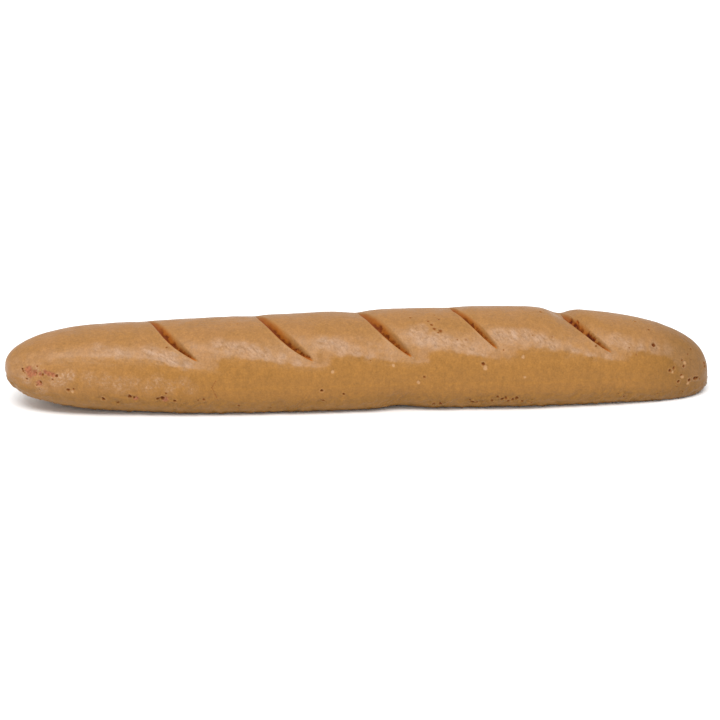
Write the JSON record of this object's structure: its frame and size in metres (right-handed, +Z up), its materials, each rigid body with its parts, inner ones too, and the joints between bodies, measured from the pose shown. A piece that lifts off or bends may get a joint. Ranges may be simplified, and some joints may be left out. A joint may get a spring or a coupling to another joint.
{
  "type": "baguette",
  "caption": "Long crusty bread loaf with rounded tapered ends, slanting score cuts over a domed top and a flat underside to lie on.",
  "frame": {"origin": "middle of the flat underside, on the surface that the loaf lies on", "axes": "+X along the loaf, towards its blunter end; +Y across it; +Z up"},
  "size_m": [0.5196, 0.0818, 0.0657],
  "materials": {
    "crust": "smooth baked golden-brown crust with a soft satin sheen, pitted along the score cuts and the lower edge"
  },
  "bodies": {
    "root": {"loaf": "crust"}
  },
  "joints": []
}
